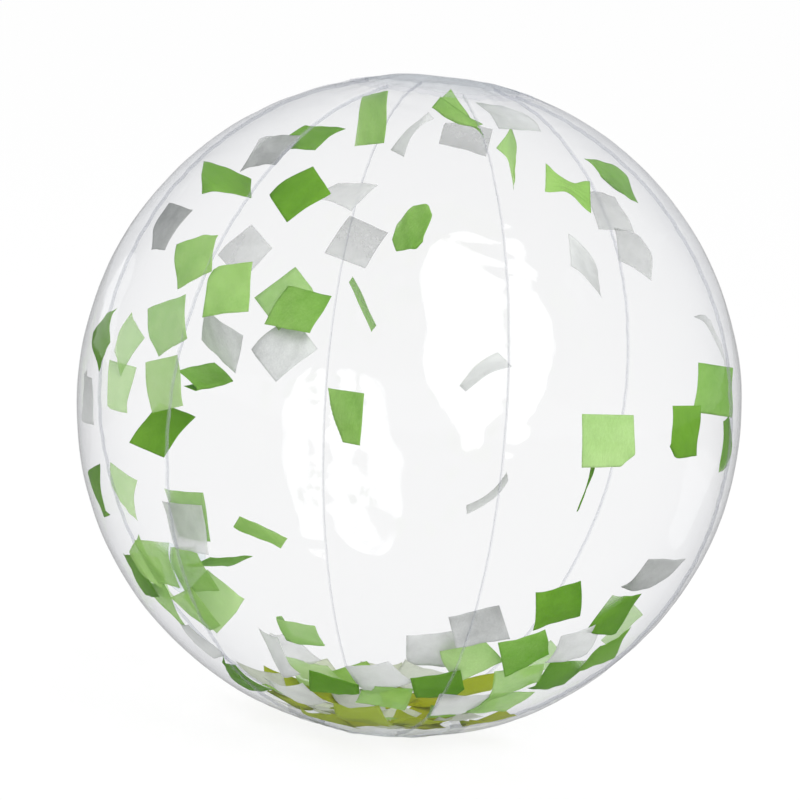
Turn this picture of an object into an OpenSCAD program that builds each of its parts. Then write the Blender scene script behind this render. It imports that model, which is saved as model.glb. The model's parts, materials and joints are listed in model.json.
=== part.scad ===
// Inflatable beach ball: six clear film panels welded edge to edge, a welded disc over
// each pole, a push-in air valve in one panel, and loose tissue confetti inside.
//
// Frame: the origin is the ball's centre and +Z runs through the poles. Directions on
// the ball are a longitude, counted from -Y towards +X, and a latitude, from the
// equator towards +Z. All sizes are in millimetres.

/* [Ball] */
// Diameter of the inflated ball
ball_d = 330; // [300:10:360]
// Thickness of the clear film
film = 0.25; // [0.2:0.05:0.3]
// Radius of the hole that the panels leave at each pole
pole_hole_r = 38; // [32:1:40]
// Depth of the welded flange that stands inwards along every seam
flange_depth = 2.5; // [2:0.5:4]

/* [Pole discs] */
// Radius of the disc welded over each pole
disc_r = 46; // [44:1:50]
// Radius of the flat at the middle of each disc
flat_r = 24; // [18:1:28]
// Thickness of the weld between a disc or valve flange and the panels
weld = 0.05; // [0.05:0.05:0.1]

/* [Valve] */
// Longitude of the valve
valve_lon = 225; // [222:1:228]
// Latitude of the valve
valve_lat = -40; // [-44:1:-36]
// Radius of the hole in the panel
port_r = 10; // [10:0.5:11]
// Outer radius of the flange round the hole
valve_flange_r = 16; // [15:0.5:17]
// Thickness of that flange
valve_flange_t = 0.8; // [0.6:0.1:0.8]
// Outer radius of the stem
stem_r = 5; // [5:0.1:5.2]
// Radius of the air way through the stem
bore_r = 4; // [3.9:0.1:4]
// Height of the stem's mouth over the ball when it is pushed in
mouth_z = 1.6; // [1.6:0.1:2]
// Depth of the stem's inner end when it is pushed in
stem_end_z = -16; // [-20:1:-14]
// Depth at which the skirt holds the stem
skirt_z = -6; // [-7:0.5:-5]
// Distance from the stem's axis to the fold of the stopper's strap
fold_y = 13; // [13:0.5:14]
// Width of the strap
strap_w = 5; // [4:0.5:6]
// Thickness of the strap and of the stem's lip
strap_t = 0.7; // [0.6:0.1:0.7]

/* [Confetti] */
// Side of one tissue square
square = 25; // [20:1:26]
// Thickness of one tissue square
tissue = 0.1; // [0.1:0.05:0.15]
// Clear space between the wall and a square that lies along it
wall_gap = 4; // [4:0.5:6]
// Step between the layers of the heap
layer = 1; // [0.9:0.1:1.2]
// Number of layers in the heap
layers = 6; // [6]
// Number of squares heaped round the bottom pole
heap_count = 28; // [22:1:30]
// Angle at the ball's centre from the pole to the heap's outermost square
heap_reach = 22; // [20:1:26]

/* [Hidden] */
$fn = 144;
film_colour = [0.92, 0.95, 0.97, 0.35];
disc_colour = [0.80, 0.86, 0.92, 0.5];
valve_colour = [0.93, 0.95, 0.96, 0.8];
GREEN = [0.43, 0.68, 0.24];
DARK = [0.26, 0.50, 0.13];
PALE = [0.66, 0.82, 0.50];
WHITE = [0.84, 0.86, 0.85];

panel_count = 6;
panel_angle = 360 / panel_count;
ball_r = ball_d / 2;
inner_r = ball_r - film;
tip_z = sqrt(ball_r * ball_r - pole_hole_r * pole_hole_r);
flange_r = inner_r - flange_depth;
disc_out_r = ball_r + weld + film;
disc_edge_z = sqrt(disc_out_r * disc_out_r - disc_r * disc_r);
flat_z = sqrt(disc_out_r * disc_out_r - flat_r * flat_r);

// Valve heights run along the valve's own axis, from the ball's surface outwards.
lip_r = 7;
plug_r = bore_r - 0.08;
plug_tip_r = 2.6;
plug_length = 6;
head_r = 6.6;
head_t = 1.4;
play = 0.1;
knuckle_r = strap_t;
fold_z = mouth_z + play / 2;
flap_t = 0.4;
flap_r = 4.7;
flap_knuckle_y = -5.7;
flap_knuckle_r = 0.3;
skirt_t = 0.4;
skirt_top_r = port_r - 0.8;

// Direction from the ball's centre to a longitude and latitude.
function towards(lon, lat) = [
    cos(lat) * sin(lon),
    -cos(lat) * cos(lon),
    sin(lat),
];

// Each row is one square: longitude, latitude, how far it is turned and leaned away
// from the wall's own direction, spin in its own plane, and extra distance from the
// wall. LOOSE squares are single nodes; the others share a node by place and colour.
LOOSE = [
    [-64, 73, -9, -65, 12, 11, GREEN],
    [-66, 59, 0, 10, 14, 6, DARK],
    [-69, 51, 0, 0, 20, 1, WHITE],
    [-83, 44, 96, 21, -25, 10, DARK],
    [-48, 43, 0, 0, 50, 0, DARK],
    [-80, 31, 0, 0, 5, 0, WHITE],
    [-65, 27, 0, 0, 30, 0, GREEN],
    [-54, 23, 0, 0, 16, 1, GREEN],
    [-39, 22, 0, 28, -5, 4, GREEN],
    [4, -41, 0, 0, 40, 5, PALE],
    [-28, 26, 98, 6, 0, 15, DARK],
    [-20, 42, -52, -15, 15, 12, GREEN],
    [-57, 15, -6, -43, -30, 15, WHITE],
    [-40, 15, 0, 18, 50, 4, WHITE],
    [-65, 15, 0, 0, 30, 0, PALE],
    [-88, 9, 0, 0, 45, 0, DARK],
    [-60, 7, 80, 56, 15, 18, GREEN],
    [-63, 5, 0, 0, 20, 1, PALE],
    [-27, 5, -30, 0, 3, 6, GREEN],
    [-68, -4, 14, 47, -8, 12, DARK],
    [-57, -17, 0, 0, 6, 2, GREEN],
    [-57, -19, 0, 0, 5, 0, WHITE],
    [-42, -18, 0, -36, -8, 8, GREEN],
    [-57, -29, 77, -38, 0, 15, GREEN],
    [-62, -38, 26, 18, 50, 11, PALE],
    [-36, -39, 0, -12, 0, 6, PALE],
    [2, -31, 0, 0, 25, 0, WHITE],
    [17, -26, 0, 0, 20, 0, DARK],
    [15, -37, 0, 0, 30, 0, GREEN],
    [34, -29, 0, 0, -5, 0, DARK],
    [43, -39, 0, 0, 20, 0, DARK],
    [46, -23, -19, -19, 0, 5, WHITE],
    [21, 4, -25, 0, 5, 4, PALE],
    [21, -5, 50, -8, -15, 16, DARK],
    [39, 5, 0, 0, -2, 0, DARK],
    [64, 10, -36, 0, -5, 8, GREEN],
    [24, 51, 0, 0, -20, 2, GREEN],
    [45, 52, 0, 0, -20, 0, DARK],
    [22, 36, 33, 0, 40, 9, WHITE],
    [0, 76, 0, -25, -20, 6, GREEN],
];
FAR_GREEN = [
    [-128, -5, 0, 0, 15, 0],
    [-128, 3, 0, 0, 40, 2],
    [-124, -24, 0, 0, 30, 0],
    [-150, -72, 0, 0, 20, 7],
    [85, -41, 0, 0, 0, 0],
    [-118, -40, 0, 0, 25, 0],
    [104, -55, 0, 0, 15, 0],
];
FAR_WHITE = [
    [-158, 20, 0, 0, 40, 0],
    [-176, 35, 0, 20, 15, 4],
    [178, 23, 0, 0, 20, 0],
    [-150, -64, 0, 0, 0, 8],
    [165, -69, 0, 0, 10, 1],
    [155, 53, 0, 0, 10, 0],
    [114, 29, 0, 0, 20, 0],
    [117, 38, 0, 0, 0, 1],
];
LOW_DARK = [
    [-84, -34, 0, 0, 10, 0],
    [-91, -19, 0, 0, 20, 0],
    [-63, -55, 0, 0, 15, 0],
    [-29, -51, 0, -8, -10, 1],
    [-1, -49, 0, 0, 20, 3],
    [35, -46, 0, 0, 10, 3],
    [59, 1, 0, 0, 0, 0],
];
LOW_GREEN = [
    [-68, -28, 0, 0, 10, 0],
    [-75, -30, 0, 0, 40, 1],
    [-59, -28, 0, 0, 15, 2],
    [-62, -37, 0, 0, 30, 1],
    [-80, -40, 0, 0, 5, 3],
    [-22, -63, 0, 0, 15, 0],
    [-15, -54, 0, 0, -5, 1],
    [-43, 24, 0, 14, 55, 12],
    [19, -46, 0, 0, 20, 1],
    [22, -54, 0, 0, 0, 0],
    [17, 64, 45, -50, 20, 13],
];
LOW_WHITE = [
    [-96, -3, 0, 0, 0, 0],
    [-72, -47, 0, 0, 20, 1],
    [-48, -60, 0, 0, 5, 3],
    [-46, -48, -34, 20, 0, 8],
    [-17, -47, 0, 0, 30, 2],
    [9, -55, 0, 0, 10, 2],
    [28, -36, 0, 0, 15, 1],
    [68, 19, 0, 15, -20, 6],
    [24, 71, 0, 0, -10, 1],
    [-28, 68, -68, -37, 0, 10],
    [-5, -41, 0, 0, 8, 9],
    [0, -7, -106, 52, 0, 13],
    [-3, 15, -90, 35, 0, 13],
];
// The heap's squares spiral out from the bottom pole.
HEAP = [
    for (k = [1 : heap_count])
        let (lat = heap_reach * sqrt(k / heap_count) - 90)
            [137.5 * k, lat, 0, 0, 25 * k, (k % layers) * layer],
];
LOOSE_NAMES = [for (i = [1 : len(LOOSE)]) str("confetti_", i < 10 ? "0" : "", i)];

// Puts children on the ball at a longitude and latitude: their +Z points outwards,
// their +Y towards the top pole.
module at_place(lon, lat, r) {
    rotate([90 - lat, 0, lon])
        translate([0, 0, r])
            children();
}

module at_valve() {
    at_place(valve_lon, valve_lat, ball_r) children();
}

// A ring sector of the ball's outline in the right half plane, between two radii.
module outline_band(r_out, r_in, z_low, z_high) {
    intersection() {
        difference() {
            circle(r_out);
            circle(r_in);
        }
        translate([0, z_low])
            square([ball_d, z_high - z_low]);
    }
}

// The flange that one panel turns inwards along its seam, standing on the XZ plane.
module seam_flange() {
    rotate([90, 0, 0])
        linear_extrude(film)
            outline_band(inner_r + film / 2, flange_r, -tip_z, tip_z);
}

module panel(i) {
    start = (i - 1) * panel_angle - 90;
    color(film_colour)
        difference() {
            rotate([0, 0, start])
                union() {
                    rotate_extrude(angle = panel_angle)
                        outline_band(ball_r, inner_r, -tip_z, tip_z);
                    translate([0, film, 0]) seam_flange();
                    rotate([0, 0, panel_angle]) seam_flange();
                }
            if (abs(valve_lon - (i - 0.5) * panel_angle) < panel_angle / 2)
                at_valve()
                    cylinder(h = 20, r = port_r, center = true);
        }
}

// A pole disc follows the ball and is flat at its middle.
module pole_disc() {
    color(disc_colour)
        rotate_extrude()
            difference() {
                outline_band(disc_out_r, 0, disc_edge_z, flat_z);
                intersection() {
                    circle(ball_r + weld);
                    square([ball_d, flat_z - film]);
                }
            }
}

module top_disc() {
    pole_disc();
}

module bottom_disc() {
    mirror([0, 0, 1]) pole_disc();
}

module valve_flange() {
    r_in = ball_r + weld;
    color(valve_colour)
        at_valve()
            translate([0, 0, -ball_r])
                rotate_extrude()
                    intersection() {
                        difference() {
                            circle(r_in + valve_flange_t);
                            circle(r_in);
                        }
                        translate([skirt_top_r, 0])
                            square([valve_flange_r - skirt_top_r, ball_d]);
                    }
}

// The skirt is a thin cone from the flange down to the stem. It turns inside out when
// the stem is pulled out.
module valve_skirt() {
    gap = 0.1;
    top_r = skirt_top_r - gap;
    foot_r = stem_r + gap;
    color(valve_colour)
        at_valve()
            rotate_extrude()
                polygon([
                    [top_r, 0.1],
                    [top_r, -skirt_t],
                    [foot_r + skirt_t, skirt_z],
                    [foot_r, skirt_z],
                    [foot_r, skirt_z + 2 * skirt_t],
                    [top_r - 2 * skirt_t, 0.1],
                ]);
}

module valve_stem() {
    lip_z = mouth_z - strap_t;
    leaf_end = fold_y - knuckle_r - play;
    color(valve_colour)
        at_valve()
            difference() {
                union() {
                    translate([0, 0, stem_end_z])
                        cylinder(h = mouth_z - stem_end_z, r = stem_r);
                    translate([0, 0, lip_z])
                        cylinder(h = strap_t, r = lip_r);
                    translate([-strap_w / 2, stem_r + 0.5, lip_z])
                        cube([strap_w, leaf_end - stem_r - 0.5, strap_t]);
                }
                translate([0, 0, stem_end_z - 1])
                    cylinder(h = mouth_z - stem_end_z + 2, r = bore_r);
            }
}

// The flap lies on the stem's inner end and swings inwards on a knuckle beside it.
module check_flap() {
    flap_z = stem_end_z - play - flap_t;
    color(valve_colour)
        at_valve()
            union() {
                translate([0, 0, flap_z])
                    cylinder(h = flap_t, r = flap_r);
                translate([-2, flap_knuckle_y, flap_z])
                    cube([4, -flap_knuckle_y, flap_t]);
                translate([-2, flap_knuckle_y, flap_z + flap_t / 2])
                    rotate([0, 90, 0])
                        cylinder(h = 4, r = flap_knuckle_r);
            }
}

// The stopper is a tapered plug under a round head, on a strap that folds beside the
// stem's lip. A small tongue on the far side of the head lifts it.
module stopper() {
    head_z = mouth_z + play;
    strap_from = head_r - 1;
    tongue_w = 4;
    tongue_end = 9.5;
    color(valve_colour)
        at_valve()
            union() {
                translate([0, 0, head_z])
                    cylinder(h = head_t, r = head_r);
                translate([0, 0, head_z])
                    mirror([0, 0, 1])
                        rotate_extrude()
                            polygon([
                                [0, -head_t / 2],
                                [plug_r, -head_t / 2],
                                [plug_r, play + 0.8],
                                [plug_tip_r, plug_length - 1],
                                [plug_tip_r - 1, plug_length],
                                [0, plug_length],
                            ]);
                translate([-strap_w / 2, strap_from, head_z])
                    cube([strap_w, fold_y - strap_from, strap_t]);
                translate([-strap_w / 2, fold_y, fold_z])
                    rotate([0, 90, 0])
                        cylinder(h = strap_w, r = knuckle_r);
                translate([-tongue_w / 2, -tongue_end, head_z])
                    cube([tongue_w, tongue_end - strap_from, strap_t]);
            }
}

// One square of tissue from its row.
module confetti(row) {
    r = inner_r - wall_gap - row[5];
    translate(r * towards(row[0], row[1]))
        rotate([90 - row[1] - row[3], 0, row[0] + row[2]])
            rotate([0, 0, row[4]])
                cube([square, square, tissue], center = true);
}

module confetti_group(rows, paint) {
    color(paint)
        for (row = rows)
            confetti(row);
}

// Every third square of the heap is white.
module heap_confetti(white) {
    color(white ? WHITE : GREEN)
        for (i = [0 : len(HEAP) - 1])
            if ((i % 3 == 0) == white) confetti(HEAP[i]);
}

panel(1);  // panel_1
panel(2);  // panel_2
panel(3);  // panel_3
panel(4);  // panel_4
panel(5);  // panel_5
panel(6);  // panel_6
top_disc();
bottom_disc();
valve_flange();
valve_skirt();
valve_stem();
check_flap();
stopper();
for (i = [0 : len(LOOSE) - 1])
    color(LOOSE[i][6]) confetti(LOOSE[i]);
confetti_group(FAR_GREEN, PALE);  // far_confetti_green
confetti_group(FAR_WHITE, WHITE);  // far_confetti_white
confetti_group(LOW_DARK, DARK);  // low_confetti_dark
confetti_group(LOW_GREEN, GREEN);  // low_confetti_green
confetti_group(LOW_WHITE, WHITE);  // low_confetti_white
heap_confetti(false);  // heap_confetti_green
heap_confetti(true);  // heap_confetti_white
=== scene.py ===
"""A clear inflatable beach ball with tissue confetti inside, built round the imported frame.

Shapes are worked out in millimetres, in the frame's own axes, and scaled to metres
when a mesh is made. A place on the ball is a longitude, counted from -Y towards +X,
and a latitude, as in the frame.
"""

import json
import math

import bmesh
import bpy
import numpy as np
from mathutils import Matrix, Vector

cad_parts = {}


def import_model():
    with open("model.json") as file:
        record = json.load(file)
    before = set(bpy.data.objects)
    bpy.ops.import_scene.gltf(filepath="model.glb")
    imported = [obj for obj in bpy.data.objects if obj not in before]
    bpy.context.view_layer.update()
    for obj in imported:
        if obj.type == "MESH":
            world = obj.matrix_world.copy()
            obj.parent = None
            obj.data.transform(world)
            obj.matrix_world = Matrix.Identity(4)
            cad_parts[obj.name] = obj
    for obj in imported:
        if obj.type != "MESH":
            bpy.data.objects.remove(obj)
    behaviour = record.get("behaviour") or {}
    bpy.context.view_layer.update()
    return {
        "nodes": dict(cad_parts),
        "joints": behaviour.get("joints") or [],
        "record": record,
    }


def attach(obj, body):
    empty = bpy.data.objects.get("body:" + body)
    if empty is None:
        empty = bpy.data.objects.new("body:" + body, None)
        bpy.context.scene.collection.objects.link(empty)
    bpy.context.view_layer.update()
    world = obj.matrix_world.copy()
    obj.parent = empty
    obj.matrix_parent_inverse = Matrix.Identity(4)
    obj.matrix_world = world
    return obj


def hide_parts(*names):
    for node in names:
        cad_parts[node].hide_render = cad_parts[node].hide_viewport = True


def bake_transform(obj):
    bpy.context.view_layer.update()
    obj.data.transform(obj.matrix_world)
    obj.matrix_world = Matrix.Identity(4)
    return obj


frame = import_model()
NODES = frame["nodes"]
JOINTS = {joint["name"]: joint for joint in frame["joints"]}
SLOT_OF = {part["node"]: part["material_slot"] for part in frame["record"]["subparts"]}

MM = 0.001
SEED = 41

# ---- Sizes read from the frame ------------------------------------------------------


def corners(node):
    """The vertices of a CAD node in millimetres."""
    return np.array([v.co for v in NODES[node].data.vertices], float) / MM


PANELS = [f"panel_{i}" for i in range(1, 7)]
PANEL_ANGLE = 360 / len(PANELS)
BALL_R = float(np.linalg.norm(corners(PANELS[0]), axis=1).max())
TIP_Z = float(corners(PANELS[0])[:, 2].max())
HOLE_R = math.sqrt(BALL_R**2 - TIP_Z**2)
DISC_R = float(np.hypot(*corners("top_disc")[:, :2].T).max())
FLAT_Z = float(corners("top_disc")[:, 2].max())
DISC_OUT_R = float(np.linalg.norm(corners("top_disc"), axis=1).max())
FLAT_R = math.sqrt(DISC_OUT_R**2 - FLAT_Z**2)
FILM = 0.25
INNER_R = BALL_R - FILM

# ---- The camera's place, as a longitude and latitude on the ball ---------------------

VIEW_LON = -16.1
VIEW_LAT = 8.1
VIEW_ROLL = 5.8
VIEW_DISTANCE = 13 * BALL_R
LENS = 193.5
# How far the ball's centre stands to the right of the picture's, and below it.
CENTRE_RIGHT = 4.7
CENTRE_BELOW = 2.7


# ---- Small helpers --------------------------------------------------------------------


def towards(lon, lat):
    """Unit vectors from the ball's centre to longitudes and latitudes in degrees."""
    lon, lat = np.radians(lon), np.radians(lat)
    x = np.cos(lat) * np.sin(lon)
    y = -np.cos(lat) * np.cos(lon)
    return np.stack(np.broadcast_arrays(x, y, np.sin(lat)), axis=-1)


def smooth(low, high, x):
    """0 below low, 1 above high, and smooth in between."""
    t = np.clip((x - low) / (high - low), 0, 1)
    return t * t * (3 - 2 * t)


def ripple(seed, shortest, longest, waves=14):
    """A smooth random field over points: a sum of plane waves between two lengths."""
    rng = np.random.default_rng(seed)
    heading = rng.normal(size=(waves, 3))
    heading /= np.linalg.norm(heading, axis=1)[:, None]
    length = np.exp(rng.uniform(math.log(shortest), math.log(longest), waves))
    phase = rng.uniform(0, 2 * math.pi, waves)
    number = heading * (2 * math.pi / length)[:, None]

    def field(points):
        return np.sin(points @ number.T + phase).sum(-1) * math.sqrt(2 / waves) / 2

    return field


def mesh_object(name, points, faces, marks=None, materials=()):
    """A smooth mesh object from points in millimetres. marks gives each face's material."""
    mesh = bpy.data.meshes.new(name)
    mesh.from_pydata((np.asarray(points) * MM).tolist(), [], [tuple(f) for f in faces])
    for material in materials:
        mesh.materials.append(material)
    if marks is not None:
        mesh.polygons.foreach_set("material_index", np.asarray(marks, np.int32))
    mesh.polygons.foreach_set("use_smooth", np.ones(len(mesh.polygons), bool))
    mesh.update()
    piece = bpy.data.objects.new(name, mesh)
    bpy.context.scene.collection.objects.link(piece)
    return piece


def grid_faces(rows, columns, wrap=False):
    """Quads over a grid of points stored row by row."""
    last = columns if wrap else columns - 1
    return [
        (
            r * columns + c,
            r * columns + (c + 1) % columns,
            (r + 1) * columns + (c + 1) % columns,
            (r + 1) * columns + c,
        )
        for r in range(rows - 1)
        for c in range(last)
    ]


def point_normals(points, faces):
    """Each point's unit normal, averaged over its faces."""
    normals = np.zeros_like(points)
    for size in (3, 4):
        some = np.array([f for f in faces if len(f) == size])
        if len(some):
            a = points[some[:, 0]]
            across = points[some[:, size // 2]] - a
            along = points[some[:, -1]] - points[some[:, 1]]
            for k in range(size):
                np.add.at(normals, some[:, k], np.cross(across, along))
    return normals / np.maximum(np.linalg.norm(normals, axis=1), 1e-12)[:, None]


def thicken(points, faces, thickness, marks=None):
    """A closed thin solid: the sheet, a copy moved back by the thickness, and rims."""
    count = len(points)
    back = points - point_normals(points, faces) * thickness
    edges = {}
    for index, face in enumerate(faces):
        for a, b in zip(face, (*face[1:], face[0])):
            edges[(a, b)] = index
    rims = [(a, b, f) for (a, b), f in edges.items() if (b, a) not in edges]
    solid = list(faces)
    solid += [tuple(count + i for i in reversed(face)) for face in faces]
    solid += [(b, a, count + a, count + b) for a, b, f in rims]
    if marks is not None:
        marks = list(marks) + list(marks) + [marks[f] for a, b, f in rims]
    return np.vstack([points, back]), solid, marks


# ---- Materials ------------------------------------------------------------------------


class Tree:
    """A material's node tree, with short calls to add nodes and link them."""

    def __init__(self, name):
        self.material = bpy.data.materials.new(name)
        self.material.use_nodes = True
        self.nodes = self.material.node_tree.nodes
        self.links = self.material.node_tree.links
        self.nodes.clear()

    def add(self, kind, **values):
        """A new node. Values are its settings, or its inputs where the name is a socket's."""
        node = self.nodes.new("ShaderNode" + kind)
        for key, value in values.items():
            socket = next((s for s in node.inputs if s.name.replace(" ", "_") == key), None)
            if socket is None:
                setattr(node, key, value)
            else:
                socket.default_value = value
        return node

    def link(self, a, b):
        self.links.new(a, b)

    def maths(self, operation, *values):
        """A Math node over numbers or other nodes' outputs, and its output."""
        node = self.nodes.new("ShaderNodeMath")
        node.operation = operation
        for socket, value in zip(node.inputs, values):
            if isinstance(value, (int, float)):
                socket.default_value = value
            else:
                self.link(value, socket)
        return node.outputs[0]

    def ramp(self, factor, *stops):
        """A colour ramp with (place, colour) stops, and its colour output."""
        node = self.nodes.new("ShaderNodeValToRGB")
        elements = node.color_ramp.elements
        while len(elements) < len(stops):
            elements.new(0.5)
        for element, (place, colour) in zip(elements, stops):
            element.position = place
            element.color = (*colour, 1)
        self.link(factor, node.inputs[0])
        return node.outputs[0]

    def mix(self, factor, a, b):
        """A blend of two colours by a factor. Each is a colour or a node's output."""
        node = self.nodes.new("ShaderNodeMix")
        node.data_type = "RGBA"
        for socket, value in zip((node.inputs[0], node.inputs[6], node.inputs[7]), (factor, a, b)):
            if isinstance(value, tuple):
                socket.default_value = (*value, 1)
            else:
                self.link(value, socket)
        return node.outputs[2]

    def noise(self, scale, detail=3.0, roughness=0.55, stretch=None, distortion=0.0):
        """Noise in the object's own coordinates, with its scale per metre."""
        place = self.add("TexCoord").outputs["Object"]
        if stretch:
            mapping = self.add("Mapping")
            mapping.inputs["Scale"].default_value = stretch
            self.link(place, mapping.inputs["Vector"])
            place = mapping.outputs["Vector"]
        node = self.add("TexNoise", Scale=scale, Detail=detail, Roughness=roughness)
        node.inputs["Distortion"].default_value = distortion
        self.link(place, node.inputs["Vector"])
        return node.outputs["Fac"]

    def bump(self, height, distance, before=None):
        """A bump from a height, on top of an earlier bump, and its normal output."""
        node = self.add("Bump", Distance=distance)
        self.link(height, node.inputs["Height"])
        if before is not None:
            self.link(before, node.inputs["Normal"])
        return node.outputs["Normal"]

    def blend(self, factor, first, second):
        """A mix of two shaders' outputs by a factor, and its output."""
        mix = self.add("MixShader")
        if isinstance(factor, float):
            mix.inputs["Fac"].default_value = factor
        else:
            self.link(factor, mix.inputs["Fac"])
        self.link(first, mix.inputs[1])
        self.link(second, mix.inputs[2])
        return mix.outputs[0]

    def finish(self, shader):
        """Ends the tree in a shader's output, and gives the material."""
        output = self.add("OutputMaterial")
        self.link(shader, output.inputs["Surface"])
        return self.material


def edge_on(tree, power):
    """How edge-on the surface is seen, from 0 to 1, raised to a power."""
    weight = tree.add("LayerWeight", Blend=0.5)
    return tree.maths("POWER", weight.outputs["Facing"], power)


# How strongly clear film mirrors the room when it is seen face on, and how much more edge on.
FILM_SHINE = 0.02
FILM_EDGE_SHINE = 0.30


def clear_film(name, clear, rim):
    """Clear glossy film: what is behind shows through, tinted more where it is edge-on."""
    tree = Tree(name)
    through = tree.add("BsdfTransparent")
    # Edge on, the see-through colour darkens to a cool grey: partly the film's own tint over a longer
    # path, partly painted shade for the dim room the rim mirrors.
    tint = tree.ramp(edge_on(tree, 1.7), (0, clear), (1, rim))
    tree.link(tint, through.inputs["Color"])
    gloss = tree.add("BsdfGlossy", Roughness=0.045)
    tree.link(tree.bump(tree.noise(260, detail=2), 0.00003), gloss.inputs["Normal"])
    shine = tree.maths("MULTIPLY_ADD", edge_on(tree, 5.0), FILM_EDGE_SHINE, FILM_SHINE)
    return tree.finish(tree.blend(shine, through.outputs[0], gloss.outputs[0]))


def welded_film(name, milk, colour):
    """Film pressed into a weld: a little milky, with the fine ribs of the tool."""
    tree = Tree(name)
    ribs = tree.noise(900, detail=1)
    normal = tree.bump(ribs, 0.00008)
    through = tree.add("BsdfTransparent", Color=(0.958, 0.960, 0.968, 1))
    skin = tree.add("BsdfPrincipled", Base_Color=(*colour, 1), Roughness=0.3)
    tree.link(normal, skin.inputs["Normal"])
    cloudy = tree.maths("MULTIPLY_ADD", tree.noise(400), milk, milk / 2)
    return tree.finish(tree.blend(cloudy, through.outputs[0], skin.outputs[0]))


def moulded_vinyl(name):
    """Soft translucent vinyl: milky, with a waxy gloss and faint flow marks."""
    tree = Tree(name)
    flow = tree.noise(60, detail=4, stretch=(1, 1, 3))
    grain = tree.noise(2500, detail=1)
    normal = tree.bump(grain, 0.00002, before=tree.bump(flow, 0.0002))
    through = tree.add("BsdfTransparent", Color=(0.93, 0.95, 0.96, 1))
    skin = tree.add("BsdfPrincipled", Roughness=0.28)
    tint = tree.ramp(flow, (0.3, (0.80, 0.83, 0.85)), (0.7, (0.90, 0.92, 0.93)))
    tree.link(tint, skin.inputs["Base Color"])
    tree.link(normal, skin.inputs["Normal"])
    solid = tree.maths("MULTIPLY_ADD", edge_on(tree, 1.5), 0.4, 0.42)
    return tree.finish(tree.blend(solid, through.outputs[0], skin.outputs[0]))


def tissue_paper(name, dark, light, bottom_shade):
    """Tissue: matte, fibrous and a little crumpled, with light glowing through it.

    Three values on the mesh vary it: shade runs from the dark colour to the light one,
    bottom_shade turns it towards a painted shade colour, darker and olive, that stands for
    the shade low in the ball and the light coming there through stacked tissue, and fade
    thins it out.
    """
    tree = Tree(name)
    shade, bottom_shading, fade = (
        tree.add("Attribute", attribute_name=value).outputs["Fac"]
        for value in ("shade", "bottom_shade", "fade")
    )
    fibres = tree.noise(1400, detail=4, stretch=(1, 1, 0.25), distortion=1.2)
    mottle = tree.noise(120, detail=5, roughness=0.6)
    mixed = tree.maths("MULTIPLY_ADD", fibres, 0.3, shade)
    mixed = tree.maths("MULTIPLY_ADD", mottle, 0.5, mixed)
    colour = tree.ramp(mixed, (0.2, dark), (0.95, light))
    # Painted shade: low squares turn darker and olive, standing for the shade at the ball's bottom and
    # the light that comes there through stacked tissue.
    colour = tree.mix(bottom_shading, colour, bottom_shade)
    crumple = tree.noise(180, detail=3, distortion=0.6)
    normal = tree.bump(fibres, 0.00005, before=tree.bump(crumple, 0.0006))
    paper = tree.add("BsdfPrincipled", Roughness=0.85)
    paper.inputs["Specular IOR Level"].default_value = 0.1
    glow = tree.add("BsdfTranslucent")
    for shader, socket in ((paper, "Base Color"), (glow, "Color")):
        tree.link(colour, shader.inputs[socket])
        tree.link(normal, shader.inputs["Normal"])
    body = tree.blend(0.42, paper.outputs[0], glow.outputs[0])
    gaps = tree.maths("MULTIPLY_ADD", fibres, -0.25, 0.2)
    gaps = tree.maths("MAXIMUM", gaps, fade)
    return tree.finish(tree.blend(gaps, body, tree.add("BsdfTransparent").outputs[0]))


FILM_MATERIAL = clear_film("clear_film", (0.9905, 0.991, 0.9915), (0.977, 0.979, 0.985))
DISC_MATERIAL = clear_film("disc_film", (0.972, 0.976, 0.981), (0.90, 0.915, 0.93))
WELD_MATERIAL = welded_film("film_weld", 0.09, (0.62, 0.63, 0.66))
VINYL = moulded_vinyl("valve_vinyl")
# The third colour of each tissue is a painted shade that low squares turn towards, standing for the
# shade at the ball's bottom and light through stacked tissue.
BOTTOM_SHADE_OLIVE = (0.44, 0.47, 0.005)
TISSUE_COLOURS = {
    "tissue_green": ((0.17, 0.42, 0.03), (0.42, 0.66, 0.20), BOTTOM_SHADE_OLIVE),
    "tissue_dark_green": ((0.09, 0.28, 0.005), (0.22, 0.47, 0.04), (0.30, 0.35, 0.003)),
    "tissue_pale_green": ((0.34, 0.58, 0.17), (0.54, 0.74, 0.34), BOTTOM_SHADE_OLIVE),
    "tissue_white": ((0.40, 0.41, 0.405), (0.78, 0.79, 0.785), (0.70, 0.74, 0.58)),
}
TISSUE = {name: tissue_paper(name, *colours) for name, colours in TISSUE_COLOURS.items()}

# ---- The film's shape -----------------------------------------------------------------

VALVE_JOINT = JOINTS["valve_pull"]
VALVE_AXIS = np.array(VALVE_JOINT["axis"]) / np.linalg.norm(VALVE_JOINT["axis"])
VALVE_LON = math.degrees(math.atan2(VALVE_AXIS[0], -VALVE_AXIS[1])) % 360
# The film is undisturbed up to the first distance from the valve, and free past the second.
VALVE_CALM = (18, 34)
SEAM_GROOVE = 1.3
SEAM_GROOVE_REACH = 15
PANEL_BULGE = 0.8
WAVINESS = 0.35
FINE_WAVINESS = 0.12
CREASED_LAT = 76
PUCKER_DEPTH = 0.8
PUCKER_REACH = 17
PUCKER_WAVES = (9, 14, 17, 23, 29, 38)

waviness = ripple(SEED, 45, 120)
fine_waviness = ripple(SEED + 1, 16, 40)


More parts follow.
